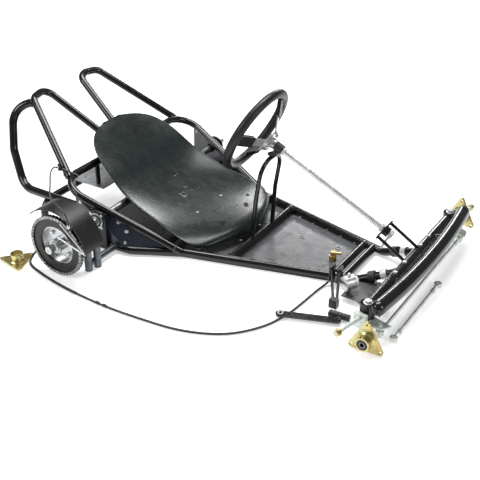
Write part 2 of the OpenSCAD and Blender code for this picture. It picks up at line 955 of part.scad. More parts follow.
module roller_chain() {
    half = 360 / sprocket_teeth;
    function edge(a, r, e) = r + e * 2.6 * (0.5 + 0.5 * cos(a * sprocket_teeth));
    color([0.6, 0.6, 0.6])
        across(axle_x, sprocket_y + 3.5, axle_z) {
            for (z = [0, 11.5])
                translate([0, 0, z])
                    linear_extrude(1.5)
                        difference() {
                            polygon([for (k = [0 : 4 * sprocket_teeth - 1])
                                let (a = 90 * k / sprocket_teeth)
                                [edge(a, pitch_r + 3.4, 1) * cos(a), edge(a, pitch_r + 3.4, 1) * sin(a)]]);
                            polygon([for (k = [0 : 4 * sprocket_teeth - 1])
                                let (a = 90 * k / sprocket_teeth)
                                [edge(a, pitch_r - 3.4, -1) * cos(a), edge(a, pitch_r - 3.4, -1) * sin(a)]]);
                        }
            for (k = [0 : sprocket_teeth - 1])
                rotate([0, 0, k * half])
                    translate([pitch_r, 0, 0.5])
                        cylinder(h = 12, r = roller_r - 0.1, $fn = 24);
        }
}
drum_flange_t = 6;
drum_w = 42;
drum_dish = 14;
drum_hub_r = 21;
module brake_drum() {
    color([0.8, 0.8, 0.8])
        across(axle_x, sprocket_y + drum_w, axle_z)
            difference() {
                union() {
                    cylinder(h = drum_w, r = drum_r);
                    translate([0, 0, drum_w - drum_flange_t])
                        cylinder(h = drum_flange_t, r = drum_r + 16);
                    cylinder(h = drum_w + 12, r = drum_hub_r);
                }
                translate([0, 0, drum_w - drum_dish])
                    difference() {
                        cylinder(h = drum_dish + 1, r = drum_r - 4);
                        translate([0, 0, -1])
                            cylinder(h = drum_dish + 3, r = drum_hub_r);
                    }
                translate([0, 0, -1])
                    cylinder(h = drum_w + 20, d = axle_d);
            }
}
band_gap = 0.6;
band_w = 16;
lever_y = -535;
module brake_band() {
    color([0.08, 0.08, 0.08])
        across(axle_x, sprocket_y + 28, axle_z)
            rotate([0, 0, 20])
                rotate_extrude(angle = 330)
                    translate([drum_r + band_gap, 0])
                        square([3, band_w]);
    color([0.08, 0.08, 0.08])
        rod([axle_x + drum_r + 2, sprocket_y + 20, axle_z + 26],
            [axle_x + 119, sprocket_y + 20, axle_z + 30], 8);
    color([0.5, 0.5, 0.52]) {
        rod([-284, lever_y, 190], [-196.5, lever_y, 113.5], 6);
        rod([-300, lever_y, 140], [-196.7, lever_y, 110], 6);
    }
}

// spare hub lying on its flange beside the drive, one lug turned to the rear
spare_hub_at = [-478, -538, 0.3];
module rear_hub() {
    color([0.8, 0.65, 0.3])
        translate(spare_hub_at)
            rotate([0, 0, 108])
                hub_shape();
}

/* ---- brake gear at the front, cables ---- */

module pedal_bracket() {
    color([0.05, 0.05, 0.05]) {
        translate([398, -150, 17])
            cube([36, 44, 6]);
        translate([400, -142, 17])
            cube([6, 30, 42]);
        translate([426, -142, 17])
            cube([6, 30, 42]);
        rod([398, -128, 48], [436, -128, 48], 10);
        rod([403, -134, 50], [470, -252, 30], 8);
        rod([429, -134, 50], [482, -252, 30], 8);
        translate([464, -268, 12])
            cube([24, 18, 28]);
    }
}
cylinder_at = [479, -172, 48];
cylinder_turn = 58;
module brake_cylinder() {
    color([0.7, 0.71, 0.72]) {
        translate(cylinder_at)
            rotate([0, 0, cylinder_turn])
                rotate([0, 90, 0])
                    cylinder(h = 34, d = 42, center = true);
        translate([cylinder_at.x, cylinder_at.y, plate_z + plate_t - weld])
            cylinder(h = 16, d = 14);
    }
}
module cylinder_cap() {
    color([0.9, 0.9, 0.88])
        translate(cylinder_at)
            rotate([0, 0, cylinder_turn])
                rotate([0, 90, 0])
                    translate([0, 0, 17])
                        cylinder(h = 10, d = 26);
}
module cable_fitting() {
    color([0.75, 0.62, 0.25])
        translate([348, -13, tray_t]) {
            cylinder(h = 16, d = 26, $fn = 6);
            cylinder(h = 30, d = 16);
            translate([0, 0, 22])
                rotate([0, 90, 35])
                    cylinder(h = 26, d = 9);
        }
}
module cable_clip() {
    color([0.05, 0.05, 0.05]) {
        rod([-440, -272, 194], [-491, -294, 217], 10);
        rod([-492, -296, 212], [-492, -296, 232], 14);
    }
}

pedal_pivot = [364, -367, 11];
pedal_end = [514, -313, 11];
pedal_w = 24;
module brake_pedal() {
    v = pedal_end - pedal_pivot;
    color([0.06, 0.06, 0.07]) {
        difference() {
            union() {
                translate(pedal_pivot)
                    rotate([0, 0, atan2(v.y, v.x)])
                        translate([0, 0, -3])
                            linear_extrude(6)
                                union() {
                                    translate([0, -pedal_w / 2])
                                        square([norm(v), pedal_w]);
                                    circle(d = pedal_w + 5);
                                    translate([norm(v), 0])
                                        circle(d = pedal_w + 0.6);
                                }
                translate([pedal_end.x - 6, pedal_end.y, 8])
                    cube([12, 26, 6]);
            }
            translate(pedal_pivot - [0, 0, 10])
                cylinder(h = 20, d = 12);
            translate([388, -358, 0])
                cylinder(h = 20, d = 6.5);
        }
        for (i = [0 : 5])
            rod([480 + 10.5 * i, -289.6 + 0.8 * i, 11], [486 + 10.5 * i, -289.2 + 0.8 * i, 11], 21);
        rod([478, -290, 11], [541, -285, 11], 18);
    }
}

brake_cable_d = 7;
brake_cable_way = [[-350, -456, 88], [-388, -458, 74], [-428, -474, 46], [-442, -505, 17],
    [-428, -533, 5.2], [-360, -557, 3.8], [-257, -578, 3.8], [-167, -587, 3.8],
    [-60, -592, 3.8], [70, -586, 3.8], [148, -577, 3.8], [218, -556, 3.8], [278, -523, 3.8],
    [322, -478, 3.8], [356, -421, 3.8], [376, -354, 3.8], [384, -290, 3.8], [390, -200, 3.8],
    [396, -160, 5], [402, -143, 12], [404, -139, 19]];
module brake_cable() {
    color([0.08, 0.08, 0.08])
        cord(smooth(brake_cable_way, 4), brake_cable_d, [0, 0, 1]);
}
throttle_cable_d = 5;
throttle_cable_way = [[-492, -302, 224], [-486, -330, 236], [-462, -370, 240], [-415, -425, 236],
    [-355, -490, 240], [-290, -535, 252], [-245, -550, 236], [-238, -549, 194]];
module throttle_cable() {
    color([0.06, 0.06, 0.06])
        cord(smooth(throttle_cable_way, 4), throttle_cable_d, [1, 0, 0]);
}

rail_right();
rail_left();
front_cross_tube();
mid_cross_tube();
rear_cross_tube();
seat_surround_tube();
rear_hoop_right();
rear_hoop_left();
rear_guard_loop();
floor_tray();
side_panel_right();
side_panel_left();
engine_plate();
front_beam();
bumper();
bumper_stays();
foot_plate();
rail_clamps();
kingpins();
steering_hoop();
column_bush();
lower_bracket();
frame_bolts();
seat();
seat_supports();
axle_hangers();
axle_bearings();
drive_outrigger();
chain_guard();
brake_band();
pedal_bracket();
brake_cylinder();
cylinder_cap();
cable_fitting();
cable_clip();
brake_cable();
throttle_cable();
wheel_rim();
wheel_spokes();
spoke_covers();
wheel_flange();
wheel_bolts();
steering_shaft();
pitman_arm();
knuckle_right();
knuckle_left();
spindle_nuts_right();
spindle_nuts_left();
tie_rod();
front_hub_left();
hub_bearings_left();
front_hub_right();
hub_bearings_right();
rear_axle();
sprocket();
roller_chain();
brake_drum();
drag_link();
brake_pedal();
rear_hub();
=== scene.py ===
import bpy
import bmesh
import json
import math
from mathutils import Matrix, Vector, noise


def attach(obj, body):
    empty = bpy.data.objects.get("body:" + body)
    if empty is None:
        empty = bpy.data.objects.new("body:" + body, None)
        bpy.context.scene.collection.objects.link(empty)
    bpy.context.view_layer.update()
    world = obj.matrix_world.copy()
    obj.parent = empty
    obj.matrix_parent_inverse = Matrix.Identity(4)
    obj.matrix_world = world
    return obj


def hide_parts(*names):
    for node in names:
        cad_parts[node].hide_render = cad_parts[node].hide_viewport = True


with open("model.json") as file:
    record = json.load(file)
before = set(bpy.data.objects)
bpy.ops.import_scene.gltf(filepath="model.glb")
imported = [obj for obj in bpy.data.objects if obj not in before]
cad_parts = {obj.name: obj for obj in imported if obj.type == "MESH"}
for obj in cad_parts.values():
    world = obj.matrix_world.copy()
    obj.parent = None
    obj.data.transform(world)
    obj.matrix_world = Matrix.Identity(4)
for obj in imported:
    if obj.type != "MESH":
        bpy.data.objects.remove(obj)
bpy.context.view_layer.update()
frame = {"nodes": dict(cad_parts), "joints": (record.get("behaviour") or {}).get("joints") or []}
nodes = frame["nodes"]
scene = bpy.context.scene
MM = 0.001


# ---------------------------------------------------------------- places, in millimetres

def pivot(name):
    """Place of a hinge joint of the frame."""
    joint = next(j for j in frame["joints"] if j["name"] == name)
    return Vector([round(value / MM, 3) for value in joint["pos_m"]])


def flip(p):
    """The same point on the other side of the kart."""
    return (p[0], -p[1], p[2])


AXLE = pivot("axle_spin")
KINGPIN = pivot("left_kingpin")
SPINDLE_Z = pivot("left_hub_spin").z
WHEEL_CENTRE = pivot("steering_turn")
PEDAL_PIVOT = pivot("pedal_swing")
REST_TURN = math.radians(-12)
COLUMN_TILT = math.radians(26)
SPROCKET_TEETH = 46
CHAIN_PITCH = 12.7
RAIL_Z = 14.3
BEARING_Y = (-456, -336, 336)


# ---------------------------------------------------------------- camera and light

# the view is rounded from a scratch program's fit of a camera to points picked on the photograph
CAMERA_AT = (1.4227, -2.2767, 1.51)
CAMERA_AIM = (0, 0, -0.04)
SENSOR_WIDTH = 36
LENS = 70.1

camera = bpy.data.objects.new("camera", bpy.data.cameras.new("camera"))
scene.collection.objects.link(camera)
camera.location = CAMERA_AT
camera.rotation_euler = (Vector(CAMERA_AIM) - camera.location).to_track_quat("-Z", "Y").to_euler()
camera.data.lens = LENS
camera.data.sensor_width = SENSOR_WIDTH
camera.data.dof.use_dof = False
scene.camera = camera
scene.view_settings.view_transform = "Standard"


def area_light(name, at, aim, size, power):
    """One large soft rectangular lamp."""
    data = bpy.data.lights.new(name, "AREA")
    data.shape = "RECTANGLE"
    data.size = size[0]
    data.size_y = size[1]
    data.energy = power
    lamp = bpy.data.objects.new(name, data)
    lamp.location = at
    lamp.rotation_euler = (Vector(aim) - Vector(at)).to_track_quat("-Z", "Y").to_euler()
    scene.collection.objects.link(lamp)


area_light("lamp_top", (-0.4, 0.5, 2.6), (0, 0, 0), (2.2, 1.1), 95)
area_light("lamp_left", (-1.0, 2.6, 1.15), (0, 0, 0.1), (1.1, 0.45), 24)
area_light("lamp_right", (-1.6, -2.2, 2.0), (0, 0, 0.1), (1.4, 0.9), 34)
area_light("lamp_front", (2.9, -0.6, 1.6), (0.2, 0, 0.1), (1.2, 1.0), 26)

world = bpy.data.worlds.new("world")
scene.world = world
world.use_nodes = True
world.node_tree.nodes["Background"].inputs["Color"].default_value = (1, 1, 1, 1)
world.node_tree.nodes["Background"].inputs["Strength"].default_value = 0.22


# ---------------------------------------------------------------- materials

class Shader:
    """A principled material with small helpers that chain nodes on to it."""

    def __init__(self, name, rough, metal=0.0):
        self.mat = bpy.data.materials.new(name)
        self.mat.use_nodes = True
        self.tree = self.mat.node_tree
        self.bsdf = self.tree.nodes["Principled BSDF"]
        self.bsdf.inputs["Roughness"].default_value = rough
        self.bsdf.inputs["Metallic"].default_value = metal
        self.place = self.tree.nodes.new("ShaderNodeTexCoord").outputs["Object"]
        self.normal = None

    def set(self, **values):
        """Sets inputs of the principled shader by name."""
        for key, value in values.items():
            self.bsdf.inputs[key.replace("_", " ")].default_value = value
        return self

    def stretch(self, scale):
        """Object coordinates stretched by a factor along each axis."""
        node = self.tree.nodes.new("ShaderNodeMapping")
        node.inputs["Scale"].default_value = scale
        self.tree.links.new(self.place, node.inputs["Vector"])
        return node.outputs["Vector"]

    def noise(self, scale, detail, where=None):
        """Cloudy noise in object coordinates."""
        node = self.tree.nodes.new("ShaderNodeTexNoise")
        node.inputs["Scale"].default_value = scale
        node.inputs["Detail"].default_value = detail
        node.inputs["Roughness"].default_value = 0.55
        self.tree.links.new(where or self.place, node.inputs["Vector"])
        return node.outputs["Fac"]

    def ramp(self, value, stops):
        """Colour for a value, by (position, colour) stops."""
        node = self.tree.nodes.new("ShaderNodeValToRGB")
        band = node.color_ramp
        while len(band.elements) < len(stops):
            band.elements.new(0.5)
        for element, (at, colour) in zip(band.elements, stops):
            element.position = at
            element.color = (*colour, 1)
        self.tree.links.new(value, node.inputs["Fac"])
        return node.outputs["Color"]

    def spread(self, value, low, high, start=0.3, end=0.7):
        """Maps a value from start..end to low..high."""
        node = self.tree.nodes.new("ShaderNodeMapRange")
        node.inputs["From Min"].default_value = start
        node.inputs["From Max"].default_value = end
        node.inputs["To Min"].default_value = low
        node.inputs["To Max"].default_value = high
        self.tree.links.new(value, node.inputs["Value"])
        return node.outputs["Result"]

    def link(self, value, socket):
        """Feeds a node's output into an input of the principled shader."""
        self.tree.links.new(value, self.bsdf.inputs[socket])
        return self

    def bump(self, height, strength, distance):
        """Adds a bump on top of those already there."""
        node = self.tree.nodes.new("ShaderNodeBump")
        node.inputs["Strength"].default_value = strength
        node.inputs["Distance"].default_value = distance
        self.tree.links.new(height, node.inputs["Height"])
        if self.normal is not None:
            self.tree.links.new(self.normal, node.inputs["Normal"])
        self.normal = node.outputs["Normal"]
        self.tree.links.new(self.normal, self.bsdf.inputs["Normal"])
        return self


def powder_coat():
    """Glossy black powder coat with orange peel, dust and a few rubbed places."""
    s = Shader("black_powder_coat", 0.2)
    dust = s.noise(14, 5)
    s.link(s.ramp(dust, [(0.35, (0.0025, 0.0025, 0.003)), (0.75, (0.007, 0.007, 0.008))]), "Base Color")
    s.link(s.spread(s.noise(55, 4), 0.13, 0.27), "Roughness")
    s.set(Coat_Weight=0.2, Coat_Roughness=0.05, Specular_IOR_Level=0.38)
    s.bump(s.noise(480, 2), 0.12, 0.0004)
    s.bump(s.noise(60, 2), 0.10, 0.0006)
    return s.mat


def satin_black():
    """Satin black paint of brackets and guards."""
    s = Shader("satin_black", 0.36)
    tones = [(0.3, (0.006, 0.006, 0.006)), (0.75, (0.0108, 0.0108, 0.0114))]
    s.link(s.ramp(s.noise(30, 5), tones), "Base Color")
    s.link(s.spread(s.noise(90, 4), 0.28, 0.46), "Roughness")
    s.set(Specular_IOR_Level=0.4)
    s.bump(s.noise(700, 3), 0.2, 0.0004)
    return s.mat


def panel_coat():
    """Blue-grey coated sheet, slightly wavy."""
    s = Shader("panel_coat", 0.3)
    s.link(s.ramp(s.noise(9, 4), [(0.3, (0.007, 0.010, 0.020)), (0.7, (0.018, 0.024, 0.040))]), "Base Color")
    s.link(s.spread(s.noise(40, 4), 0.22, 0.42), "Roughness")
    s.set(Coat_Weight=0.35, Coat_Roughness=0.12)
    s.bump(s.noise(11, 2), 0.35, 0.003)
    s.bump(s.noise(520, 2), 0.12, 0.0004)
    return s.mat


def tray_coat():
    """Grey satin floor tray with lighter streaks along the kart; the brightest are painted reflection glints.
    """
    s = Shader("tray_coat", 0.36)
    # streaks along the kart: random tone in the darker stops, painted reflection glints in the brightest stop
    glint_streak = s.noise(30, 5, s.stretch((1, 7, 1)))
    tones = [(0.3, (0.06, 0.063, 0.067)), (0.6, (0.11, 0.113, 0.118)), (0.8, (0.24, 0.245, 0.255))]
    s.link(s.ramp(glint_streak, tones), "Base Color")
    s.link(s.spread(s.noise(22, 6), 0.2, 0.5), "Roughness")
    s.set(Specular_IOR_Level=0.35)
    s.bump(s.noise(14, 3), 0.35, 0.003)
    s.bump(s.noise(420, 3), 0.12, 0.0004)
    return s.mat


def seat_plastic():
    """Dark green-grey moulded seat plastic, satin, finely grained."""
    s = Shader("seat_plastic", 0.4)
    tones = [(0.3, (0.006, 0.0095, 0.0092)), (0.7, (0.011, 0.0170, 0.0162))]
    s.link(s.ramp(s.noise(7, 4), tones), "Base Color")
    s.link(s.spread(s.noise(26, 5), 0.22, 0.32), "Roughness")
    s.set(Specular_IOR_Level=0.3)
    s.bump(s.noise(1000, 2), 0.14, 0.0003)
    s.bump(s.noise(16, 2), 0.08, 0.003)
    return s.mat


def plated(name, low, high, rough, grain=350, tint=None, metal=1.0, bumps=0.15):
    """Plated or bare metal: cloudy tone, uneven roughness and a fine grain."""
    s = Shader(name, rough, metal)
    stops = [(0.3, low), (0.7, high)]
    if tint:
        stops = [(0.28, low), (0.48, high), (0.62, tint), (0.78, low)]
    s.link(s.ramp(s.noise(45, 4), stops), "Base Color")
    s.link(s.spread(s.noise(120, 4), rough - 0.08, rough + 0.12), "Roughness")
    s.bump(s.noise(grain, 3), bumps, 0.0003)
    return s.mat


def turned(name, low, high, rough, centre, pitch=900):
    """Machined metal with fine rings round the line through centre that runs across the kart."""
    s = Shader(name, rough, 1.0)
    node = s.tree.nodes.new("ShaderNodeMapping")
    node.inputs["Location"].default_value = (-centre[0], -centre[1], -centre[2])
    s.tree.links.new(s.place, node.inputs["Vector"])
    rings = s.tree.nodes.new("ShaderNodeTexWave")
    rings.wave_type = "RINGS"
    rings.rings_direction = "Y"
    rings.inputs["Scale"].default_value = pitch
    rings.inputs["Distortion"].default_value = 0.6
    s.tree.links.new(node.outputs["Vector"], rings.inputs["Vector"])
    s.link(s.ramp(s.noise(40, 4), [(0.3, low), (0.7, high)]), "Base Color")
    s.link(s.spread(rings.outputs["Fac"], rough - 0.05, rough + 0.12, 0, 1), "Roughness")
    s.bump(rings.outputs["Fac"], 0.1, 0.0003)
    return s.mat


def foam_grip():
    """Moulded foam of the steering wheel's grip."""
    s = Shader("foam_grip", 0.4)
    tones = [(0.3, (0.004, 0.004, 0.004)), (0.75, (0.010, 0.010, 0.010))]
    s.link(s.ramp(s.noise(60, 4), tones), "Base Color")
    s.link(s.spread(s.noise(70, 4), 0.3, 0.5), "Roughness")
    s.set(Specular_IOR_Level=0.35)
    s.bump(s.noise(650, 4), 0.35, 0.0007)
    return s.mat


def rubber():
    """Dull black rubber of cables, boots and seals."""
    s = Shader("black_rubber", 0.5)
    tones = [(0.3, (0.011, 0.011, 0.011)), (0.75, (0.022, 0.022, 0.021))]
    s.link(s.ramp(s.noise(40, 4), tones), "Base Color")
    s.link(s.spread(s.noise(110, 4), 0.38, 0.62), "Roughness")
    s.bump(s.noise(800, 3), 0.25, 0.0004)
    return s.mat


def white_plastic():
    """Clean glossy white plastic of the fluid cap."""
    s = Shader("white_plastic", 0.25)
    s.link(s.ramp(s.noise(50, 4), [(0.3, (0.74, 0.74, 0.71)), (0.7, (0.84, 0.84, 0.82))]), "Base Color")
    s.link(s.spread(s.noise(200, 3), 0.18, 0.34), "Roughness")
    s.bump(s.noise(300, 2), 0.08, 0.0004)
    return s.mat


BLACK = powder_coat()
SATIN = satin_black()
PANEL = panel_coat()
TRAY = tray_coat()
SEAT = seat_plastic()
ZINC = plated("zinc_plate", (0.50, 0.52, 0.51), (0.70, 0.73, 0.70), 0.32, metal=0.5, bumps=0.05)
PLATE = plated("clear_zinc_plate", (0.46, 0.52, 0.49), (0.62, 0.68, 0.64), 0.34, metal=0.35)
GOLD = plated("gold_passivate", (0.44, 0.32, 0.10), (0.60, 0.49, 0.22), 0.27, 350, (0.46, 0.47, 0.26))
STEEL = plated("bare_steel", (0.42, 0.43, 0.44), (0.60, 0.61, 0.62), 0.3, 500)
CHROME = plated("bright_plate", (0.66, 0.67, 0.66), (0.82, 0.82, 0.80), 0.26, 300, metal=0.8, bumps=0.02)
PALE = plated("pale_sheet", (0.55, 0.56, 0.58), (0.70, 0.71, 0.72), 0.38, 260)
ALLOY = plated("cast_alloy", (0.46, 0.47, 0.48), (0.62, 0.63, 0.64), 0.36, 420)
BRASS = plated("brass", (0.40, 0.29, 0.10), (0.56, 0.43, 0.18), 0.28, 400)
DRUM = turned("turned_drum", (0.40, 0.41, 0.42), (0.58, 0.59, 0.60), 0.26, AXLE * MM)
CHAIN = plated("oiled_chain", (0.08, 0.08, 0.08), (0.30, 0.30, 0.29), 0.3, 700)
FOAM = foam_grip()
RUBBER = rubber()
WHITE = white_plastic()
DARK = plated("dark_steel", (0.10, 0.10, 0.105), (0.22, 0.22, 0.225), 0.34, 400)
LEG = plated("grey_leg", (0.07, 0.08, 0.09), (0.13, 0.14, 0.15), 0.4, 400)
WELD = plated("weld_bead", (0.020, 0.020, 0.022), (0.034, 0.034, 0.036), 0.3, 300, metal=0.0)

finish_of = {
    "side_panel_right": PANEL, "side_panel_left": PANEL, "foot_plate": TRAY, "floor_tray": TRAY,
    "engine_plate": SATIN, "kingpins": ZINC, "frame_bolts": ZINC, "knuckle_right": PLATE,
    "knuckle_left": PLATE, "tie_rod": ZINC, "drag_link": ZINC, "wheel_bolts": ZINC, "pitman_arm": ZINC,
    "rail_clamps": RUBBER, "spindle_nuts_right": GOLD, "spindle_nuts_left": GOLD, "front_hub_left": GOLD,
    "front_hub_right": GOLD, "rear_hub": GOLD, "axle_bearings": STEEL, "rear_axle": STEEL,
    "roller_chain": CHAIN, "brake_drum": DRUM, "steering_shaft": CHROME, "hub_bearings_left": RUBBER,
    "hub_bearings_right": RUBBER, "wheel_rim": FOAM, "spoke_covers": FOAM, "wheel_spokes": ALLOY,
    "wheel_flange": ALLOY, "brake_cylinder": ALLOY, "cylinder_cap": WHITE, "cable_fitting": BRASS,
    "brake_cable": RUBBER, "throttle_cable": RUBBER, "seat": SEAT, "seat_supports": SATIN,
    "axle_hangers": SATIN, "drive_outrigger": LEG, "chain_guard": SATIN, "sprocket": SATIN,
    "column_bush": RUBBER, "pedal_bracket": SATIN, "brake_pedal": SATIN, "brake_band": SATIN,
}


def paint(name, first, second=None, where=None):
    """Gives a CAD node its finish, and a second one on the faces that where() picks."""
    mesh = nodes[name].data
    mesh.materials.clear()
    mesh.materials.append(first)
    if second is not None:
        mesh.materials.append(second)
    for face in mesh.polygons:
        face.material_index = 1 if second is not None and where(face.center / MM) else 0


for name in nodes:
    paint(name, finish_of.get(name, BLACK))
# second finishes: pale strip of the foot plate, bright sleeves of the rail clamps, levers of the brake band,
# slab of the engine plate, pad of the pedal, front bolts of the seat straps
paint("foot_plate", TRAY, PALE, lambda p: p.z < 14.4 and p.x > 500 and p.y < -166)
paint("rail_clamps", RUBBER, ZINC, lambda p: p.x > 530)
paint("brake_band", SATIN, CHROME, lambda p: p.y < -530)
paint("engine_plate", SATIN, PALE, lambda p: p.z < 113)
paint("brake_pedal", BLACK, RUBBER, lambda p: p.x > 474 and p.y > -306)
paint("frame_bolts", ZINC, SATIN, lambda p: -60 < p.x < 0)


# ---------------------------------------------------------------- mesh helpers

def piece(name, verts, faces, finish, body, sharp=40):
    """Makes one visual piece of the row-frame points, in millimetres, on a body."""
    mesh = bpy.data.meshes.new(name)
    mesh.from_pydata([Vector(v) * MM for v in verts], [], faces)
    mesh.validate()
    tidy = bmesh.new()
    tidy.from_mesh(mesh)
    bmesh.ops.recalc_face_normals(tidy, faces=tidy.faces)
    for face in tidy.faces:
        face.smooth = True
    for edge in tidy.edges:
        edge.smooth = not (len(edge.link_faces) == 2 and edge.calc_face_angle(0) > math.radians(sharp))
    tidy.to_mesh(mesh)
    tidy.free()
    mesh.materials.append(finish)
    obj = bpy.data.objects.new(name, mesh)
    scene.collection.objects.link(obj)
    if body:
        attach(obj, body)
    return obj


def axes_for(direction):
    """Two unit vectors square to direction."""
    d = Vector(direction).normalized()
    u = d.cross(Vector((0, 0, 1)) if abs(d.z) < 0.9 else Vector((1, 0, 0))).normalized()
    return d, u, d.cross(u)


class Build:
    """Collects points and faces of one piece."""

    def __init__(self):
        self.verts = []
        self.faces = []

    def rings(self, rings, closed=False):
        """Skin over equal rings of points; closed joins the last to the first, else both ends are capped."""
        start = len(self.verts)
        count = len(rings[0])
        for ring in rings:
            self.verts += ring
        steps = len(rings) if closed else len(rings) - 1
        for i in range(steps):
            j = (i + 1) % len(rings)
            for k in range(count):
                n = (k + 1) % count
                self.faces.append((start + i * count + k, start + i * count + n,
                                   start + j * count + n, start + j * count + k))
        if not closed:
            self.faces.append(tuple(start + k for k in reversed(range(count))))
            self.faces.append(tuple(start + (len(rings) - 1) * count + k for k in range(count)))

    def lathe(self, at, direction, profile, sides=48, ring=False):
        """Turned shape: profile is (distance along, radius); ring=True closes it on itself."""
        d, u, v = axes_for(direction)
        at = Vector(at)
        circles = []
        for along, radius in profile:
            circles.append([at + d * along + (u * math.cos(2 * math.pi * k / sides)
                                              + v * math.sin(2 * math.pi * k / sides)) * radius
                            for k in range(sides)])
        self.rings(circles, closed=ring)

    def hexagon(self, at, direction, length, across, turn=0.0):
        """Hexagon bar with chamfered ends."""
        d, u, v = axes_for(direction)
        at = Vector(at)
        circles = []
        for along, scale in ((0, 0.88), (length * 0.15, 1), (length * 0.85, 1), (length, 0.88)):
            circles.append([at + d * along + (u * math.cos(math.pi * k / 3 + turn)
                                              + v * math.sin(math.pi * k / 3 + turn)) * across / 1.732 * scale
                            for k in range(6)])
        self.rings(circles)

    def tube(self, points, radius, sides=16):
        """Round bar along a polyline."""
        points = [Vector(p) for p in points]
        circles = []
        side = None
        for i, p in enumerate(points):
            d = (points[min(i + 1, len(points) - 1)] - points[max(i - 1, 0)]).normalized()
            if side is None:
                side = axes_for(d)[1]
            side = (side - d * side.dot(d)).normalized()
            up = d.cross(side)
            circles.append([p + (side * math.cos(2 * math.pi * k / sides)
                                 + up * math.sin(2 * math.pi * k / sides)) * radius for k in range(sides)])
        self.rings(circles)

    def weld(self, at, direction, radius, size, seed):
        """Rippled weld bead round a tube."""
        d, u, v = axes_for(direction)
        at = Vector(at)
        steps = max(40, int(radius * 2 * math.pi / 1.3))
        circles = []
        for i in range(steps):
            a = 2 * math.pi * i / steps
            out = u * math.cos(a) + v * math.sin(a)
            swell = size * (0.85 + 0.22 * math.cos(i * math.pi / 1.5)
                            + 0.15 * noise.noise(Vector((i * 0.2, seed, 0))))
            middle = at + out * radius
            circles.append([middle + (out * math.cos(b) + d * math.sin(b)) * swell * 0.5
                            for b in (2 * math.pi * k / 8 for k in range(8))])
        self.rings(circles, closed=True)

    def make(self, name, finish, body):
        """The collected points and faces as one piece."""
        return piece(name, self.verts, self.faces, finish, body)


# ---------------------------------------------------------------- cables

def curve_at(p, i, t):
    """Point on the smooth curve through the points, between point i and the next."""
    a = Vector(p[max(i - 1, 0)])
    b = Vector(p[i])
    c = Vector(p[min(i + 1, len(p) - 1)])
    d = Vector(p[min(i + 2, len(p) - 1)])
    return 0.5 * (2 * b + (c - a) * t + (2 * a - 5 * b + 4 * c - d) * t * t
                  + (3 * b - a - 3 * c + d) * t * t * t)


def smooth_line(p, n):
    """The curve through the points as a polyline, n steps from each point to the next."""
    return [curve_at(p, i, j / n) for i in range(len(p) - 1) for j in range(n)] + [Vector(p[-1])]


CABLE_STEPS = 8
BRAKE_CABLE_D = 7
THROTTLE_CABLE_D = 5


def cable(name, node, way, diameter):
    """A cable as one open curve along the CAD route."""
    line = smooth_line(way, CABLE_STEPS)
    data = bpy.data.curves.new(name, "CURVE")
    data.dimensions = "3D"
    data.bevel_depth = diameter * MM / 2
    data.bevel_resolution = 5
    data.use_fill_caps = True
    spline = data.splines.new("POLY")
    spline.points.add(len(line) - 1)
    for point, q in zip(spline.points, line):
        point.co = (*(q * MM), 1)
    data.materials.append(RUBBER)
    obj = bpy.data.objects.new(name, data)
    scene.collection.objects.link(obj)
    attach(obj, "frame")
    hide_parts(node)


# Both routes repeat the CAD source's. Most of brake_way, its stretch on the floor, follows places picked by
# eye on the photograph that a scratch program carried to the floor; the other points are by hand.
brake_way = [(-350, -456, 88), (-388, -458, 74), (-428, -474, 46), (-442, -505, 17), (-428, -533, 5.2),
             (-360, -557, 3.8), (-257, -578, 3.8), (-167, -587, 3.8), (-60, -592, 3.8), (70, -586, 3.8),
             (148, -577, 3.8), (218, -556, 3.8), (278, -523, 3.8), (322, -478, 3.8), (356, -421, 3.8),
             (376, -354, 3.8), (384, -290, 3.8), (390, -200, 3.8), (396, -160, 5), (402, -143, 12),
             (404, -139, 19)]
throttle_way = [(-492, -302, 224), (-486, -330, 236), (-462, -370, 240), (-415, -425, 236),
                (-355, -490, 240), (-290, -535, 252), (-245, -550, 236), (-238, -549, 194)]
cable("brake_cable_look", "brake_cable", brake_way, BRAKE_CABLE_D)
cable("throttle_cable_look", "throttle_cable", throttle_way, THROTTLE_CABLE_D)


# ---------------------------------------------------------------- seat

# Both lists repeat the CAD source's. seat_mid is listed point by point. Most of seat_edge is rounded from a
# scratch program that solved the seat's rim from its two outlines in the photograph; the other points are
# fitted in by hand.
seat_mid = [(-515, 0, 278), (-508, 0, 273), (-496, 0, 265), (-480, 0, 252), (-462, 0, 238),
            (-442, 0, 222), (-416, 0, 202), (-384, 0, 176), (-347, 0, 144), (-307, 0, 116),
            (-265, 0, 94), (-215, 0, 77), (-160, 0, 66), (-105, 0, 60), (-55, 0, 58), (-10, 0, 58),
            (25, 0, 58), (50, 0, 50), (62, 0, 32)]
seat_edge = [(-514, 40, 277), (-511, 76, 271), (-497, 108, 265), (-480, 134, 257), (-463, 153, 248),
             (-441, 169, 234), (-408, 184, 213), (-371, 193, 186), (-329, 202, 152), (-286, 208, 127),
             (-244, 212, 109), (-203, 214, 94), (-160, 220, 81), (-107, 228, 66), (-67, 229, 52),
             (-33, 219, 40), (0, 188, 34), (32, 125, 31), (54, 60, 29)]
SEAT_T = 4.5
SEAT_COLS = 28
SEAT_STEPS = 4
SEAT_SQUARENESS = 2.6
LIP_STEPS = 4
LIP_BULGE = 2.6
SEAT_HOLE_R = 4.5
SEAT_HOLES = ((-292, 48), (-240, 32), (-210, 40), (-215, -12))
SIDE_HOLE = (-52, 131)


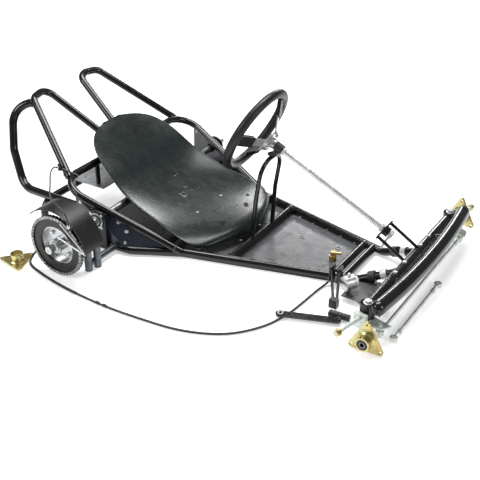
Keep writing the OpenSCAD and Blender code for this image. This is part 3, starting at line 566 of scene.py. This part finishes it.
def seat_shell():
    """Moulded bucket shell with a rolled edge and drilled holes."""
    middle = smooth_line(seat_mid, SEAT_STEPS)
    rim = smooth_line(seat_edge, SEAT_STEPS)
    rows = len(middle)
    cols = 2 * SEAT_COLS + 1

    def point(i, s):
        k = abs(s) ** SEAT_SQUARENESS
        c, e = middle[i], rim[i]
        return Vector((c.x + (e.x - c.x) * k, e.y * s, c.z + (e.z - c.z) * k))

    top = [[point(i, j / SEAT_COLS) for j in range(-SEAT_COLS, SEAT_COLS + 1)] for i in range(rows)]
    normals = []
    for i in range(rows):
        line = []
        for j in range(cols):
            u = top[min(i + 1, rows - 1)][j] - top[max(i - 1, 0)][j]
            v = top[i][min(j + 1, cols - 1)] - top[i][max(j - 1, 0)]
            line.append(u.cross(v).normalized())
        normals.append(line)
    verts = [top[i][j] for i in range(rows) for j in range(cols)]
    verts += [top[i][j] - normals[i][j] * SEAT_T for i in range(rows) for j in range(cols)]
    size = rows * cols
    faces = []
    for i in range(rows - 1):
        for j in range(cols - 1):
            a = i * cols + j
            faces.append((a, a + cols, a + cols + 1, a + 1))
            faces.append((size + a, size + a + 1, size + a + cols + 1, size + a + cols))
    loop = [(i, 0) for i in range(rows)] + [(rows - 1, j) for j in range(1, cols)]
    loop += [(i, cols - 1) for i in range(rows - 2, -1, -1)] + [(0, j) for j in range(cols - 2, 0, -1)]
    count = len(loop)
    lip = []
    for k, (i, j) in enumerate(loop):
        before, after = loop[k - 1], loop[(k + 1) % count]
        along = (top[after[0]][after[1]] - top[before[0]][before[1]]).normalized()
        n = normals[i][j]
        out = along.cross(n).normalized()
        inside = top[rows // 2][cols // 2]
        if out.dot(top[i][j] - inside) < 0:
            out = -out
        centre = top[i][j] - n * SEAT_T / 2
        ring = []
        for m in range(1, LIP_STEPS):
            a = math.pi * m / LIP_STEPS
            ring.append(len(verts))
            verts.append(centre + n * math.cos(a) * (SEAT_T / 2 + 0.4) + out * math.sin(a) * LIP_BULGE)
        lip.append([i * cols + j] + ring + [size + i * cols + j])
    for k in range(count):
        a, b = lip[k], lip[(k + 1) % count]
        for m in range(LIP_STEPS):
            faces.append((a[m], a[m + 1], b[m + 1], b[m]))
    shell = piece("seat_shell", verts, faces, SEAT, None, sharp=60)
    drill = Build()
    for x, y in SEAT_HOLES:
        drill.lathe((x, y, 30), (0, 0, 1), [(0, SEAT_HOLE_R), (150, SEAT_HOLE_R)], 24)
    drill.tube([(*SIDE_HOLE, 20), (*SIDE_HOLE, 110)], SEAT_HOLE_R, 16)
    cutter = drill.make("seat_drill", SEAT, None)
    cut = shell.modifiers.new("holes", "BOOLEAN")
    cut.object = cutter
    cut.operation = "DIFFERENCE"
    cut.solver = "EXACT"
    bpy.context.view_layer.update()
    mesh = bpy.data.meshes.new_from_object(shell.evaluated_get(bpy.context.evaluated_depsgraph_get()))
    shell.modifiers.clear()
    shell.data = mesh
    bpy.data.objects.remove(cutter)
    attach(shell, "frame")
    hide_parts("seat")


seat_shell()


# ---------------------------------------------------------------- small real parts

def along(a, b, distance):
    """Point at a distance from a towards b, and the direction."""
    d = (Vector(b) - Vector(a)).normalized()
    return Vector(a) + d * distance, d


def weld_beads():
    """Weld beads where tubes meet, painted with the frame."""
    beads = Build()
    seed = 0
    # where the tube starts, where it goes, how far along it the bead lies, radius of the tube
    meetings = [((-462, -290, 192), (-705, -165, 368), 13, 13),
                ((-462, -22, 192), (-725, -85, 372), 13, 13),
                ((85, -198, RAIL_Z), (85, 0, RAIL_Z), 15, 13),
                ((400, -113, RAIL_Z), (400, 0, RAIL_Z), 15, 13),
                ((590, -66, 66), (470, -96, RAIL_Z), 12, 13),
                ((608, -150, 79), (645, -150, 95), 14, 11.6),
                ((645, -150, 95), (608, -150, 79), 11, 11.6),
                ((-60, -246, 18), (-462, -344, 192), 24, 13),
                ((-548, -329, RAIL_Z), (-548, -329, 97), 13, 13),
                ((85, -62, 18), (96, -60, 163), 9, 7.4)]
    for a, b, distance, radius in meetings:
        for side in (1, -1):
            seed += 1
            start, end = (a, b) if side == 1 else (flip(a), flip(b))
            at, d = along(start, end, distance)
            beads.weld(at, d, radius, 3.6 if radius > 10 else 2.6, seed)
    at, d = along((-700, -160, 352), (-768, -200, 345), 14)
    beads.weld(at, d, 14.4, 3.6, 31)
    at, d = along((-415, -322, 118), (-672, -285, 98), 2)
    beads.weld(at, d, 14.0, 3.6, 32)
    for x, y, z, r in ((-258, -459, 110, 12.4), (-250, -426, 90, 12.4)):
        beads.weld((x, y, z), (0, 0, 1), r, 2.8, 40)
    beads.make("weld_beads", WELD, "frame")


def end_plugs():
    """Moulded plugs in the open tube ends."""
    plugs = Build()
    dome = [(-3, 12.9), (1.5, 12.9), (3.2, 11.6), (4.4, 8), (4.9, 0.4)]
    for s in (1, -1):
        plugs.lathe((-560, -330 * s, RAIL_Z), (-1, -0.03 * s, 0), dome, 32)
    plugs.lathe((-258, -459, 178.5), (0, 0, 1), [(-3, 12.4), (1.2, 12.4), (2.6, 10.8), (3.4, 0.4)], 32)
    plugs.make("tube_end_plugs", RUBBER, "frame")


def tray_rivets():
    """Domed rivets that hold the tray to the rails, and the washers of its holes."""
    (x0, y0), (x1, y1) = (-60, 244), (385, 128)
    inset = 17
    first = -45
    spacing = 58
    rivets = Build()
    for i in range(8):
        x = first + spacing * i
        y = y0 + (x - x0) * (y1 - y0) / (x1 - x0) - inset
        for s in (1, -1):
            rivets.lathe((x, s * y, 1.8), (0, 0, 1), [(0, 4.2), (0.8, 4.0), (1.6, 2.8), (2, 0.3)], 20)
    rivets.make("tray_rivets", ZINC, "frame")
    rings = Build()
    for x in (40, 200, 330):
        for s in (1, -1):
            rings.lathe((x, s * 60, 2), (0, 0, 1), [(0, 9), (1, 8.8), (1.1, 5), (0, 4.8)], 28, ring=True)
    rings.make("tray_hole_washers", TRAY, "frame")


def panel_bolts():
    """Bright bolt heads and washers along the side panels and the seat."""
    heads = Build()
    spots = [(-388, 140), (-352, 122), (-300, 40), (-262, 90), (-228, 34), (-232, 66)]
    low, far, up = Vector((-215, -322, 17)), Vector((-405, -327, 17)), Vector((-405, -329, 158))
    near_up = Vector((-215, -284, 84))
    for s in (1, -1):
        for x, z in spots:
            t = (x - low.x) / (far.x - low.x)
            bottom = low.lerp(far, t)
            top = near_up.lerp(up, t)
            k = (z - bottom.z) / (top.z - bottom.z)
            at = bottom.lerp(top, k)
            d = (far - low).cross(top - bottom).normalized()
            d = d if d.y < 0 else -d
            at, d = (at, d) if s == 1 else (Vector(flip(at)), Vector(flip(d)))
            heads.lathe(at - d * 0.5, d, [(0, 7), (1.8, 7), (2.1, 6.4), (2.1, 0.5)], 24)
            heads.hexagon(at + d * 1.4, d, 4.4, 10)
    heads.make("panel_bolts", ZINC, "frame")
    screws = Build()
    dome = [(0, 8), (1.2, 7.8), (2.4, 6), (3, 2.6), (2.2, 2.4), (2.1, 0.4)]
    for x, z in ((-120, 60.5), (-20, 58)):
        for s in (1, -1):
            screws.lathe((x, s * 70, z), (0, 0, 1), dome, 28)
    screws.make("seat_screws", SATIN, "frame")


def kingpin_trim():
    """Washers and raised faces of the kingpin heads, and the nylon rings of the lock nuts."""
    trim = Build()
    for s in (1, -1):
        x, y = KINGPIN.x, s * KINGPIN.y
        trim.lathe((x, y, 96.9), (0, 0, 1), [(0, 13), (1.7, 13), (1.9, 12.6), (1.9, 7)], 32)
        trim.lathe((x, y, 104.6), (0, 0, 1), [(0, 8.4), (0.9, 7.8), (1.2, 0.4)], 32)
        trim.lathe((x, y, 16.5), (0, 0, 1), [(0, 6.3), (4.4, 8.2), (4.6, 6.1)], 32)
    trim.make("kingpin_washers", ZINC, "frame")


def turned_about(s, local):
    """Row-frame point of a knuckle point given with the wheels straight, kingpin at its origin."""
    x, y, z = local
    y = -y if s > 0 else y
    c, d = math.cos(REST_TURN), math.sin(REST_TURN)
    return Vector((KINGPIN.x + x * c - y * d, s * KINGPIN.y + x * d + y * c, z))


def spindle_trim():
    """Split pins, chamfered spindle ends and arm bolt threads on both knuckles."""
    for s, body in ((1, "left_knuckle"), (-1, "right_knuckle")):
        trim = Build()
        tip = turned_about(s, (0, -136, SPINDLE_Z))
        root = turned_about(s, (0, -36, SPINDLE_Z))
        out = (tip - root).normalized()
        trim.lathe(tip, out, [(-1, 5.9), (0.4, 5.9), (1.6, 4.9), (1.7, 0.4)], 32)
        pin = turned_about(s, (0, -134, SPINDLE_Z))
        trim.tube([pin + Vector((0, 0, -13)), pin + Vector((0, 0, 12)), pin + Vector((1, 0, 15)) + out * 2,
                   pin + Vector((2, 0, 13)) + out * 4], 1.3, 10)
        trim.tube([pin + Vector((0, 0, -12)), pin + Vector((3, 0, -14)) + out * 2], 1.2, 10)
        bolt = turned_about(s, (45, 0, 50))
        for i in range(6):
            thread = bolt + Vector((0, 0, 0.6 + i * 0.8))
            trim.lathe(thread, (0, 0, 1), [(0, 3.6), (0.4, 4.1), (0.8, 3.6)], 24)
        low = turned_about(s, (45, 0, 5.2))
        trim.lathe(low, (0, 0, 1), [(0, 3.2), (0.9, 4.2), (1.2, 4.2)], 24)
        trim.make("spindle_trim_" + body, ZINC, body)


def rod_ends():
    """Ball races and thread turns of the tie rod and the drag link."""
    race = [(-5.6, 5.4), (-6.2, 6), (-6.2, 8.4), (-5.4, 9.2), (5.4, 9.2), (6.2, 8.4), (6.2, 6), (5.6, 5.4)]
    for name, centre, half, body in (("tie_rod_races", (644.02, -9.36, 20), 305, "track_rod"),
                                     ("drag_link_races", (682, -144, 8.2), 160, "loose_link")):
        races = Build()
        threads = Build()
        for s in (1, -1):
            at = Vector(centre) + Vector((0, s * half, 0))
            races.lathe(at, (0, 0, 1), race, 40, ring=True)
            for i in range(9):
                spot = at - Vector((0, s * (13 + i * 1.6), 0))
                threads.lathe(spot, (0, -s, 0), [(0, 4.9), (0.8, 5.35), (1.6, 4.9)], 24)
        races.make(name, CHROME, body)
        threads.make(name.replace("races", "threads"), ZINC, body)


def hub_seals():
    """Inner races of both front hubs' bearings, and the seal lips of the loose hub."""
    x, z = 636, 34.5
    ring = [(-0.3, 6.3), (0.5, 6.4), (0.7, 7.0), (0.7, 9.2), (0.2, 9.6), (-0.3, 9.6)]
    groove = [(-0.2, 12.6), (0.35, 12.8), (0.45, 14.2), (-0.2, 15.6)]
    loose = Build()
    rubber_ring = Build()
    for y, d in ((-411, -1), (-381, 1)):
        loose.lathe((x, y, z), (0, d, 0), ring, 40, ring=True)
        rubber_ring.lathe((x, y, z), (0, d, 0), groove, 40, ring=True)
    loose.make("right_hub_races", DARK, "right_hub")
    rubber_ring.make("right_hub_seal_lips", RUBBER, "right_hub")
    fitted = Build()
    inner = turned_about(1, (0, -38.5, SPINDLE_Z))
    outer = turned_about(1, (0, -68.5, SPINDLE_Z))
    d = (outer - inner).normalized()
    fitted.lathe(outer, d, ring, 40, ring=True)
    fitted.lathe(inner, -d, ring, 40, ring=True)
    fitted.make("left_hub_races", DARK, "left_hub")


def on_column(s):
    """Point on the steering column, and its direction."""
    d = Vector((math.cos(COLUMN_TILT), 0, -math.sin(COLUMN_TILT)))
    return WHEEL_CENTRE + d * s, d


def column_trim():
    """Clamp collars with screws on the shaft, its lower end and the cap on the wheel's hub."""
    collars = Build()
    for s in (109, 485):
        at, d = on_column(s)
        shape = [(0, 7.4), (0, 12), (0.8, 12.8), (7.2, 12.8), (8, 12), (8, 7.4)]
        collars.lathe(at, d, shape, 40, ring=True)
        _, u, v = axes_for(d)
        collars.hexagon(at + d * 4 + v * 10.5, v, 4.2, 5.5)
    collars.make("column_collars", ZINC, "steering")
    end = Build()
    at, d = on_column(528.6)
    end.lathe(at, d, [(-1, 7.4), (0.6, 7.4), (1.6, 6.6), (1.7, 0.4)], 40)
    end.make("column_end", ZINC, "steering")
    cap = Build()
    at, d = on_column(55)
    cap.lathe(at, -d, [(-1, 15), (1.2, 15), (2.6, 13.4), (3.2, 8), (3.4, 0.4)], 48)
    cap.make("wheel_hub_cap", RUBBER, "steering")


def rim_seam():
    """Moulding line round the inside of the foam rim."""
    at, d = on_column(0)
    _, u, v = axes_for(d)
    count = 120
    seam_r = 119.6
    bead_r = 0.7
    seam = Build()
    circles = []
    for i in range(count):
        a = 2 * math.pi * i / count
        out = u * math.cos(a) + v * math.sin(a)
        middle = at + out * seam_r
        circles.append([middle + (out * math.cos(b) + d * math.sin(b)) * bead_r
                        for b in (2 * math.pi * k / 6 for k in range(6))])
    seam.rings(circles, closed=True)
    seam.make("rim_seam", RUBBER, "steering")


def chain_pins():
    """Rivet ends of the chain, bolts of the drum and collars of the axle."""
    pitch_r = CHAIN_PITCH / (2 * math.sin(math.pi / SPROCKET_TEETH))
    bolt_r = 41
    pins = Build()
    for k in range(SPROCKET_TEETH):
        a = 2 * math.pi * k / SPROCKET_TEETH
        x, z = AXLE.x + pitch_r * math.cos(a), AXLE.z + pitch_r * math.sin(a)
        pins.lathe((x, -514.8, z), (0, -1, 0), [(0, 1.4), (0.5, 1.9), (13.9, 1.9), (14.5, 1.3)], 12)
    pins.make("chain_rivets", STEEL, "axle")
    bolts = Build()
    for k in range(4):
        a = math.pi / 4 + math.pi * k / 2
        x, z = AXLE.x + bolt_r * math.cos(a), AXLE.z + bolt_r * math.sin(a)
        bolts.lathe((x, -504.6, z), (0, -1, 0), [(0, 8), (1.4, 8), (1.6, 7.6), (1.6, 4)], 28)
        bolts.hexagon((x, -506, z), (0, -1, 0), 5.5, 11, 0.3 * k)
    axle_end = [(0, 12.3), (0.6, 12.3), (1.8, 11), (1.8, 4), (0.2, 3)]
    bolts.lathe((AXLE.x, -559.6, AXLE.z), (0, -1, 0), axle_end, 40)
    bolts.hexagon((AXLE.x, -531, AXLE.z), (0, -1, 0), 8, 30)
    bolts.make("drum_bolts", ZINC, "axle")
    collar = Build()
    for y in (-465, -344, 345):
        shape = [(0, 12.6), (0, 17), (0.8, 18), (7.2, 18), (8, 17), (8, 12.6)]
        collar.lathe((AXLE.x, y, AXLE.z), (0, 1, 0), shape, 40, ring=True)
    collar.make("axle_collars", ZINC, "axle")


def bearing_trim():
    """Seals of the axle bearings and bolts of their flanges."""
    seals = Build()
    bolts = Build()
    bolt_r = 29.5
    seal = [(0, 14.5), (0.6, 14.7), (0.8, 22), (0, 22.6)]
    for y in BEARING_Y:
        for s in (1, -1):
            seals.lathe((AXLE.x, y + s * 7.4, AXLE.z), (0, s, 0), seal, 40, ring=True)
        face = -1 if y < 0 else 1
        for a in (45, 135, 225, 315):
            x = AXLE.x + bolt_r * math.cos(math.radians(a))
            z = AXLE.z + bolt_r * math.sin(math.radians(a))
            bolts.hexagon((x, y + face * 2.8, z), (0, face, 0), 4.6, 7.5, a)
    seals.make("axle_seals", RUBBER, "frame")
    bolts.make("bearing_bolts", ZINC, "frame")


def brake_trim():
    """Rings, bleed screw and cap ribs of the brake cylinder; ferrules, sleeve and lumps of the cables."""
    a = math.radians(58)
    d = Vector((math.cos(a), math.sin(a), 0))
    at = Vector((479, -172, 48))
    rib_r = 12.7
    trim = Build()
    for s in (-17.2, -4, 9, 13.4):
        trim.lathe(at + d * s, d, [(0, 20.8), (0.6, 21.8), (3.2, 21.8), (3.8, 20.8)], 56)
    trim.lathe(at + Vector((0, 0, 20)), (0, 0, 1), [(0, 5), (5, 5), (6, 3.4), (12, 3.2), (13, 1.5)], 24)
    trim.make("cylinder_rings", ALLOY, "frame")
    cap = Build()
    for k in range(18):
        b = 2 * math.pi * k / 18
        u = Vector((-math.sin(a), math.cos(a), 0))
        out = u * math.cos(b) + Vector((0, 0, 1)) * math.sin(b)
        cap.tube([at + d * 18 + out * rib_r, at + d * 26.4 + out * rib_r], 0.9, 6)
    cap.make("cap_ribs", WHITE, "frame")
    ferrules = Build()
    for way, r in ((brake_way, BRAKE_CABLE_D / 2), (throttle_way, THROTTLE_CABLE_D / 2)):
        for a0, b0 in ((way[0], way[1]), (way[-1], way[-2])):
            start, d0 = along(a0, b0, -1)
            shape = [(0, r + 0.6), (0.5, r + 1.5), (7, r + 1.5), (7.5, r + 1), (12, r + 1), (12.6, r + 0.4)]
            ferrules.lathe(start, d0, shape, 24)
    ferrules.make("cable_ferrules", ZINC, "frame")
    ties = Build()
    line = smooth_line(brake_way, CABLE_STEPS)
    lump_steps = (60, 62)
    sleeve_from, sleeve_to = 32, 54
    for i in lump_steps:
        d = (line[i + 1] - line[i]).normalized()
        ties.lathe(line[i] + Vector((0, 0, 1.2)), d, [(-7, 3.6), (-5, 5), (5, 5), (7, 3.6)], 24)
    ties.tube([p + Vector((0, 0, 0.5)) for p in line[sleeve_from:sleeve_to]], 4.3, 20)
    ties.make("cable_ties", RUBBER, "frame")


def pedal_trim():
    """Pivot sleeve of the pedal."""
    sleeve = Build()
    shape = [(0, 6.1), (0, 8.6), (0.6, 9), (10.6, 9), (11.2, 8.6), (11.2, 6.1)]
    sleeve.lathe((PEDAL_PIVOT.x, PEDAL_PIVOT.y, 5.4), (0, 0, 1), shape, 36, ring=True)
    sleeve.make("pedal_sleeve", ZINC, "pedal")


weld_beads()
end_plugs()
tray_rivets()
panel_bolts()
kingpin_trim()
spindle_trim()
rod_ends()
hub_seals()
column_trim()
rim_seam()
chain_pins()
bearing_trim()
brake_trim()
pedal_trim()


# ---------------------------------------------------------------- floor

def floor():
    """Plain white floor, a millimetre under the part."""
    half = 200
    mesh = bpy.data.meshes.new("floor")
    mesh.from_pydata([(-half, -half, -0.001), (half, -half, -0.001), (half, half, -0.001),
                      (-half, half, -0.001)], [], [(0, 1, 2, 3)])
    s = Shader("floor_paint", 0.75)
    s.set(Base_Color=(0.86, 0.86, 0.86, 1), Specular_IOR_Level=0.2, Emission_Color=(1, 1, 1, 1),
          Emission_Strength=0.42)
    mesh.materials.append(s.mat)
    obj = bpy.data.objects.new("floor", mesh)
    scene.collection.objects.link(obj)


floor()
